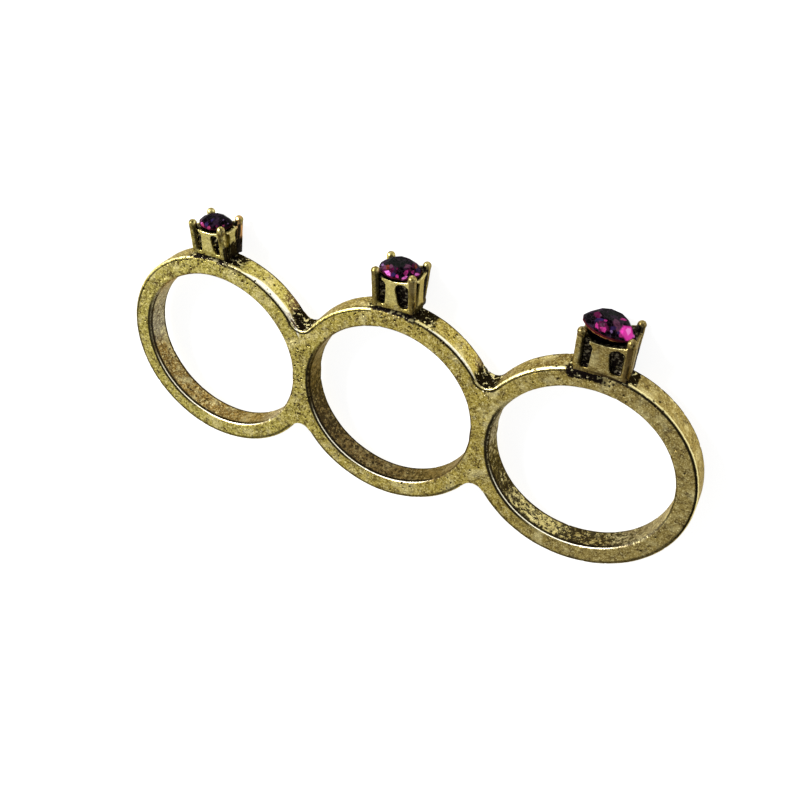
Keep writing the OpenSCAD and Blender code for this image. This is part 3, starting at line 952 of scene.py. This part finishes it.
print("stones")
stone = {
    "acrossAxis": (0.90, 0.05, -0.43),   # the two directions that the colours are laid along
    "upAxis": (-0.29, 0.81, -0.50),
    "cellSize": 0.5,
    "hazeSize": 0.3,
    "waveSize": 0.5,
    "waveHeight": 0.004,
    "patchEdge": (1.272, 0.84),   # where a patch ends and where it is full, as shares of its size
    "gloss": 0.005,
    "night": (0.0012, 0.0005, 0.0012),
    "plum": (0.016, 0.007, 0.017),
    "indigo": (0.020, 0.010, 0.055),
    "wine": (0.065, 0.003, 0.028),
    "garnet": (0.050, 0.005, 0.008),
    "pink": (0.32, 0.022, 0.15),
    "ruby": (0.26, 0.030, 0.095),
    "rose": (0.62, 0.13, 0.46),
    "flash": (1.0, 0.26, 0.72),
    "magenta": (0.80, 0.050, 0.42),
    "mauve": (0.080, 0.026, 0.052),
    "lilac": (0.15, 0.08, 0.19),
    "moss": (0.0040, 0.0058, 0.0042),
    "seam": (0.045, 0.028, 0.040),
    "rust": (0.15, 0.022, 0.010),
    "foil": (0.28, 0.11, 0.03),
    # Patches of painted reflection and glint: across, up, size, how narrow, turn in degrees, colour
    "left": {
        "middle": (-20.45, 14.46, 0),
        "normal": (0.07, 0.9976, 0),
        "radius": 1.65,
        "rim": 0.3,
        "spark": "plum",
        "patches": [
            (-0.50, 0.20, 0.70, 1.0, 20, "night"), (1.10, 0.00, 0.70, 1.0, 200, "night"),
            (-1.40, 0.10, 0.18, 1.4, 60, "mauve"), (-0.70, -0.35, 0.22, 1.2, 80, "indigo"),
            (-0.15, 0.10, 0.20, 1.6, 40, "indigo"), (-0.90, -0.65, 0.15, 1.2, -30, "wine"),
            (-1.15, -0.40, 0.30, 2.2, -56, "ruby"), (-1.28, -0.20, 0.09, 1.0, 0, "rose"),
            (-0.45, -0.75, 0.20, 1.2, 70, "ruby"), (0.30, -0.60, 0.16, 1.6, 120, "wine"),
            (0.95, -0.48, 0.12, 1.5, 30, "ruby"), (0.85, 0.13, 0.06, 1.0, 0, "lilac"),
            (1.30, -0.22, 0.06, 1.0, 0, "lilac"),
        ],
    },
    "middle": {
        "middle": (0, 14.96, 0),
        "normal": (0.07, 0.9976, 0),
        "radius": 2.0,
        "rim": 0.5,
        "spark": "wine",
        "patches": [
            (-0.15, 0.60, 1.15, 2.6, 0, "moss"), (-0.05, 0.20, 0.42, 1.0, -90, "moss"),
            (0.05, -0.42, 0.45, 1.1, 90, "night"), (-1.55, 0.05, 0.32, 1.1, 100, "mauve"),
            (-1.65, 0.35, 0.13, 1.2, 70, "lilac"), (-1.10, 0.05, 0.20, 1.0, 20, "rust"),
            (-0.85, 0.10, 0.22, 1.3, 100, "mauve"), (-1.45, -0.28, 0.18, 1.2, 0, "wine"),
            (-0.75, -0.25, 0.25, 1.4, 60, "wine"), (-0.60, -0.72, 0.22, 1.3, 0, "indigo"),
            (0.72, 0.12, 0.30, 1.6, 0, "mauve"), (1.15, 0.25, 0.26, 2.8, 80, "wine"),
            (1.42, 0.18, 0.26, 2.2, 100, "rust"), (1.62, -0.12, 0.22, 1.2, 90, "indigo"),
            (1.15, -0.40, 0.17, 1.4, 60, "pink"), (0.85, -0.20, 0.20, 2.0, 110, "wine"),
            (-1.10, -0.58, 0.30, 1.7, -55, "rose"), (-0.30, -0.85, 0.16, 1.2, 90, "pink"),
            (0.55, -0.48, 0.30, 2.0, 60, "pink"), (0.40, -1.00, 0.30, 2.6, 30, "rose"),
            (1.55, -0.60, 0.22, 1.9, 10, "rose"),
        ],
    },
    "right": {
        "middle": (19.9, 14.96, 0),
        "normal": (0.186, 0.972, -0.143),
        "radius": 2.4,
        "rim": 0.9,
        "spark": "plum",
        "patches": [
            (-1.90, 0.60, 0.45, 1.0, 180, "night"), (-0.50, 0.95, 0.42, 1.0, 90, "night"),
            (0.90, 1.00, 0.60, 1.6, -20, "night"), (-0.45, 0.00, 0.55, 2.8, 90, "night"),
            (0.35, 1.15, 0.42, 1.8, -10, "moss"), (0.43, 0.72, 0.22, 1.0, 30, "plum"),
            (-1.15, 0.98, 0.30, 1.2, 60, "wine"), (-0.92, 0.88, 0.09, 1.0, 0, "mauve"),
            (-1.05, 0.48, 0.34, 2.6, 0, "indigo"), (-0.95, -0.05, 0.46, 1.2, 110, "wine"),
            (-0.88, 0.05, 0.20, 1.1, 40, "mauve"), (-0.60, 0.40, 0.13, 1.5, -10, "pink"),
            (-1.36, 0.00, 0.24, 2.0, 85, "pink"), (-0.85, -0.40, 0.24, 1.2, -70, "pink"),
            (0.30, 0.28, 0.34, 1.2, 95, "mauve"), (0.50, -0.35, 0.34, 1.2, -80, "mauve"),
            (0.00, -0.25, 0.27, 1.8, 10, "indigo"), (-0.20, -0.53, 0.12, 1.0, 45, "lilac"),
            (0.62, -0.80, 0.22, 1.2, 100, "pink"), (0.42, -0.62, 0.14, 1.2, 60, "indigo"),
            (1.12, 0.56, 0.26, 2.2, -15, "pink"), (0.85, 0.02, 0.12, 1.2, 0, "mauve"),
            (1.18, -0.95, 0.36, 2.0, -5, "wine"), (1.05, -0.40, 0.34, 1.6, 60, "wine"),
            (0.80, -0.27, 0.08, 1.0, 0, "rose"), (1.95, -0.85, 0.16, 1.3, -30, "rose"),
        ],
        "lights": [(1.32, -0.55, 0.60, 1.0, 50, "magenta"), (1.42, -0.42, 0.28, 1.2, 40, "flash")],
    },
}


# A patch with one pointed end: a painted reflection, like a facet of the far side seen through the stone
def patch(board, across, up, middleX, middleY, size, stretch, turn, edge):
    angle = math.radians(turn)
    moveX = across - middleX
    moveY = up - middleY
    along = moveX * math.cos(angle) + moveY * math.sin(angle)
    aside = (moveY * math.cos(angle) - moveX * math.sin(angle)) * stretch
    spread = abs(aside)
    rim = board.most(spread, along + spread * 0.8)
    rim = board.most(rim, aside * 0.25 - along)
    return board.rise(rim, size * edge[0], size * edge[1])


def makeGlass(side, spec):
    own = spec[side]
    material, board = newMaterial("cut_glass_" + side)
    place = board.vector("SUBTRACT", board.millimetres(), own["middle"])
    across = board.vector("DOT_PRODUCT", place, spec["acrossAxis"], out=1)
    up = board.vector("DOT_PRODUCT", place, spec["upAxis"], out=1)
    height = board.vector("DOT_PRODUCT", place, own["normal"], out=1)

    def addPatches(tint, patches):
        for *shape, colour in patches:
            tint = board.blend(patch(board, across, up, *shape, spec["patchEdge"]), tint, spec[colour])
        return tint

    # Painted reflections: dark cells, then the patches, dark seams, a haze, the painted glints, dark below
    # the girdle, and the girdle
    flat = board.node("ShaderNodeCombineXYZ", None, {0: across, 1: up, 2: own["radius"]})
    pick = board.split(board.cells(flat, spec["cellSize"], out=1))[0]
    tint = board.blend(board.rise(pick, 0.45, 0.55), spec["night"], spec["plum"])
    tint = board.blend(board.rise(pick, 0.8, 0.85), tint, spec[own["spark"]])
    tint = addPatches(tint, own["patches"])
    seam = board.cells(flat, spec["cellSize"] * 0.7, "DISTANCE_TO_EDGE")
    tint = board.blend(board.rise(seam, 0.07, 0.02) * 0.3, tint, spec["seam"])
    haze = board.noise(place, spec["hazeSize"], 3)
    tint = board.blend(board.rise(haze, 0.48, 0.66) * 0.6, tint, spec["night"])
    tint = addPatches(tint, own.get("lights", []))
    tint = board.blend(board.rise(height, -0.15, -0.25), tint, spec["night"])
    girdle = board.rise(abs(height), 0.12, 0.06)
    tint = board.blend(girdle * own["rim"], tint, spec["garnet"])

    # Foil shows below the right stone's girdle
    if side == "right":
        streak = board.rise(abs(height + 0.14), 0.10, 0.04)
        streak = streak * board.rise(across, 0.8, -0.4) * board.rise(haze, 0.35, 0.5)
        tint = board.blend(streak, tint, spec["foil"])
    relief = board.noise(place, spec["waveSize"], 1)
    bump = board.node("ShaderNodeBump", None,
                      {"Strength": 1.0, "Distance": spec["waveHeight"] * toMetres, "Height": relief})
    shader = board.node("ShaderNodeBsdfPrincipled", None,
                        {"Base Color": tint, "Roughness": 0.04 + haze * 0.06, "Normal": bump,
                         "Specular IOR Level": spec["gloss"]})
    board.node("ShaderNodeOutputMaterial", None, {0: shader})
    return material


for name, node in nodes.items():
    if name.startswith("stone"):
        node.data.materials[0] = makeGlass(name[6:], stone)
